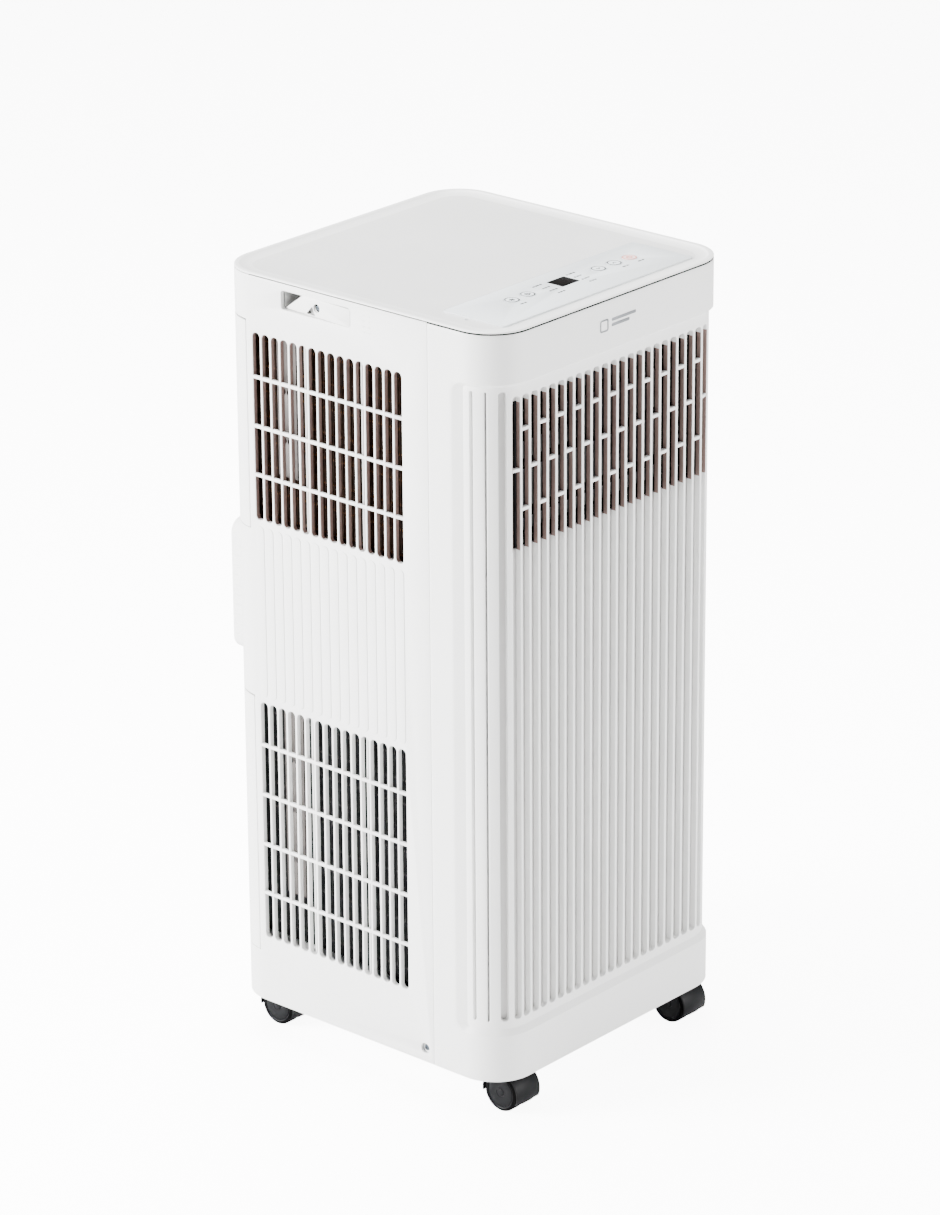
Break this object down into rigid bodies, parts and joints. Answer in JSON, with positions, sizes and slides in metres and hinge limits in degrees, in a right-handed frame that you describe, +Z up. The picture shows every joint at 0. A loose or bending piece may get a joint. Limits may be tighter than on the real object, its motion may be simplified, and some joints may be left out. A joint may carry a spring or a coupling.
{
  "type": "portable air conditioner",
  "caption": "Upright portable air conditioner with a ribbed front outlet, side and rear intake grilles, a rear exhaust socket and twin-wheel casters.",
  "frame": {"origin": "on the floor, under the middle of the box that holds the whole object", "axes": "+Z up, the ribbed front with the outlet faces -Y, +X to the right for someone who looks at the front from behind it, that is along +Y"},
  "size_m": [0.292, 0.328, 0.68],
  "materials": {
    "casing_white": "satin white moulding with a very fine texture",
    "pan_white": "satin white moulding",
    "panel_film": "pale bluish film, smooth",
    "display_dark": "smoked window, glossy",
    "button_white": "satin",
    "circuit_board": "solder resist",
    "screw_steel": "plain zinc",
    "caster_black": "satin black moulding",
    "wheel_black": "matt charcoal moulding",
    "axle_steel": "ground",
    "evaporator_metal": "thin fins on copper tubes",
    "condenser_metal": "thin fins on copper tubes",
    "compressor_black": "black enamel",
    "copper_pipe": "bare drawn copper",
    "tray_grey": "moulded",
    "fan_black": "moulded",
    "motor_steel": "zinc plated",
    "duct_grey": "moulded",
    "louvre_black": "moulded",
    "filter_net": "woven net",
    "drain_rubber": "soft moulded",
    "gland_black": "soft moulded",
    "electrical_grey": "moulded"
  },
  "bodies": {
    "body": {"front_shell": "casing_white", "left_side_panel": "casing_white", "right_side_panel": "casing_white", "rear_panel": "casing_white", "top_cover": "casing_white", "hand_pocket_left": "casing_white", "hand_pocket_right": "casing_white", "exhaust_frame": "casing_white", "base_pan": "pan_white", "control_overlay": "panel_film", "display_window": "display_dark", "control_board": "circuit_board", "pocket_screw_left": "screw_steel", "pocket_screw_right": "screw_steel", "side_screw_left": "screw_steel", "side_screw_right": "screw_steel", "evaporator_coil": "evaporator_metal", "condenser_coil": "condenser_metal", "compressor": "compressor_black", "suction_pipe": "copper_pipe", "discharge_pipe": "copper_pipe", "condensate_tray": "tray_grey", "upper_fan_motor": "motor_steel", "lower_fan_motor": "motor_steel", "upper_scroll": "duct_grey", "lower_scroll": "duct_grey", "louvre_frame": "louvre_black", "cord_gland": "gland_black", "electrical_box": "electrical_grey"},
    "caster_front_left": {"caster_yoke_front_left": "caster_black", "caster_axle_front_left": "axle_steel"},
    "wheel_front_left_left": {"caster_wheel_front_left_left": "wheel_black"},
    "wheel_front_left_right": {"caster_wheel_front_left_right": "wheel_black"},
    "caster_front_right": {"caster_yoke_front_right": "caster_black", "caster_axle_front_right": "axle_steel"},
    "wheel_front_right_left": {"caster_wheel_front_right_left": "wheel_black"},
    "wheel_front_right_right": {"caster_wheel_front_right_right": "wheel_black"},
    "caster_rear_left": {"caster_yoke_rear_left": "caster_black", "caster_axle_rear_left": "axle_steel"},
    "wheel_rear_left_left": {"caster_wheel_rear_left_left": "wheel_black"},
    "wheel_rear_left_right": {"caster_wheel_rear_left_right": "wheel_black"},
    "caster_rear_right": {"caster_yoke_rear_right": "caster_black", "caster_axle_rear_right": "axle_steel"},
    "wheel_rear_right_left": {"caster_wheel_rear_right_left": "wheel_black"},
    "wheel_rear_right_right": {"caster_wheel_rear_right_right": "wheel_black"},
    "mode_button_cap": {"mode_button": "button_white"},
    "fan_button_cap": {"fan_button": "button_white"},
    "down_button_cap": {"down_button": "button_white"},
    "up_button_cap": {"up_button": "button_white"},
    "power_button_cap": {"power_button": "button_white"},
    "upper_blower": {"upper_blower_wheel": "fan_black"},
    "lower_blower": {"lower_blower_wheel": "fan_black"},
    "louvre_blade_1": {"louvre_1": "louvre_black"},
    "louvre_blade_2": {"louvre_2": "louvre_black"},
    "louvre_blade_3": {"louvre_3": "louvre_black"},
    "upper_filter": {"upper_filter_frame": "casing_white", "upper_filter_mesh": "filter_net"},
    "lower_filter": {"lower_filter_frame": "casing_white", "lower_filter_mesh": "filter_net"},
    "drain_stopper": {"drain_plug": "drain_rubber"}
  },
  "joints": [
    {"name": "swivel_front_left", "type": "hinge", "parent": "body", "child": "caster_front_left", "pos_m": [-0.1092, -0.1397, 0], "axis": [0, 0, 1], "continuous": true},
    {"name": "roll_front_left_left", "type": "hinge", "parent": "caster_front_left", "child": "wheel_front_left_left", "pos_m": [-0.1174, -0.1442, 0.017], "axis": [1, 0, 0], "continuous": true},
    {"name": "roll_front_left_right", "type": "hinge", "parent": "caster_front_left", "child": "wheel_front_left_right", "pos_m": [-0.101, -0.1442, 0.017], "axis": [1, 0, 0], "continuous": true},
    {"name": "swivel_front_right", "type": "hinge", "parent": "body", "child": "caster_front_right", "pos_m": [0.1092, -0.1397, 0], "axis": [0, 0, 1], "continuous": true},
    {"name": "roll_front_right_left", "type": "hinge", "parent": "caster_front_right", "child": "wheel_front_right_left", "pos_m": [0.101, -0.1442, 0.017], "axis": [1, 0, 0], "continuous": true},
    {"name": "roll_front_right_right", "type": "hinge", "parent": "caster_front_right", "child": "wheel_front_right_right", "pos_m": [0.1174, -0.1442, 0.017], "axis": [1, 0, 0], "continuous": true},
    {"name": "swivel_rear_left", "type": "hinge", "parent": "body", "child": "caster_rear_left", "pos_m": [-0.1092, 0.1117, 0], "axis": [0, 0, 1], "continuous": true},
    {"name": "roll_rear_left_left", "type": "hinge", "parent": "caster_rear_left", "child": "wheel_rear_left_left", "pos_m": [-0.1174, 0.1072, 0.017], "axis": [1, 0, 0], "continuous": true},
    {"name": "roll_rear_left_right", "type": "hinge", "parent": "caster_rear_left", "child": "wheel_rear_left_right", "pos_m": [-0.101, 0.1072, 0.017], "axis": [1, 0, 0], "continuous": true},
    {"name": "swivel_rear_right", "type": "hinge", "parent": "body", "child": "caster_rear_right", "pos_m": [0.1092, 0.1117, 0], "axis": [0, 0, 1], "continuous": true},
    {"name": "roll_rear_right_left", "type": "hinge", "parent": "caster_rear_right", "child": "wheel_rear_right_left", "pos_m": [0.101, 0.1072, 0.017], "axis": [1, 0, 0], "continuous": true},
    {"name": "roll_rear_right_right", "type": "hinge", "parent": "caster_rear_right", "child": "wheel_rear_right_right", "pos_m": [0.1174, 0.1072, 0.017], "axis": [1, 0, 0], "continuous": true},
    {"name": "mode_button_press", "type": "slide", "parent": "body", "child": "mode_button_cap", "axis": [0, 0, -1], "range_m": [0, 0.0006], "stiffness_N_per_m": 600, "springref_m": -0.0005},
    {"name": "fan_button_press", "type": "slide", "parent": "body", "child": "fan_button_cap", "axis": [0, 0, -1], "range_m": [0, 0.0006], "stiffness_N_per_m": 600, "springref_m": -0.0005},
    {"name": "down_button_press", "type": "slide", "parent": "body", "child": "down_button_cap", "axis": [0, 0, -1], "range_m": [0, 0.0006], "stiffness_N_per_m": 600, "springref_m": -0.0005},
    {"name": "up_button_press", "type": "slide", "parent": "body", "child": "up_button_cap", "axis": [0, 0, -1], "range_m": [0, 0.0006], "stiffness_N_per_m": 600, "springref_m": -0.0005},
    {"name": "power_button_press", "type": "slide", "parent": "body", "child": "power_button_cap", "axis": [0, 0, -1], "range_m": [0, 0.0006], "stiffness_N_per_m": 600, "springref_m": -0.0005},
    {"name": "upper_blower_spin", "type": "hinge", "parent": "body", "child": "upper_blower", "pos_m": [0, 0.011, 0.548], "axis": [1, 0, 0], "continuous": true},
    {"name": "lower_blower_spin", "type": "hinge", "parent": "body", "child": "lower_blower", "pos_m": [0.01, -0.022, 0.416], "axis": [0, 0, 1], "continuous": true},
    {"name": "louvre_1_swing", "type": "hinge", "parent": "body", "child": "louvre_blade_1", "pos_m": [0, -0.1418, 0.51578], "axis": [1, 0, 0], "range_deg": [-30, 30]},
    {"name": "louvre_2_swing", "type": "hinge", "parent": "body", "child": "louvre_blade_2", "pos_m": [0, -0.1418, 0.55695], "axis": [1, 0, 0], "range_deg": [-30, 30]},
    {"name": "louvre_3_swing", "type": "hinge", "parent": "body", "child": "louvre_blade_3", "pos_m": [0, -0.1418, 0.59812], "axis": [1, 0, 0], "range_deg": [-30, 30]},
    {"name": "upper_filter_pull", "type": "slide", "parent": "body", "child": "upper_filter", "axis": [0, 1, 0], "range_m": [0, 0.06]},
    {"name": "lower_filter_pull", "type": "slide", "parent": "body", "child": "lower_filter", "axis": [0, 1, 0], "range_m": [0, 0.06]},
    {"name": "drain_plug_pull", "type": "slide", "parent": "body", "child": "drain_stopper", "axis": [0, 1, 0], "range_m": [0, 0.025]}
  ],
  "couplings": [
    {"joint": "louvre_1_swing", "follows": "louvre_2_swing", "ratio": 1},
    {"joint": "louvre_3_swing", "follows": "louvre_2_swing", "ratio": 1}
  ]
}
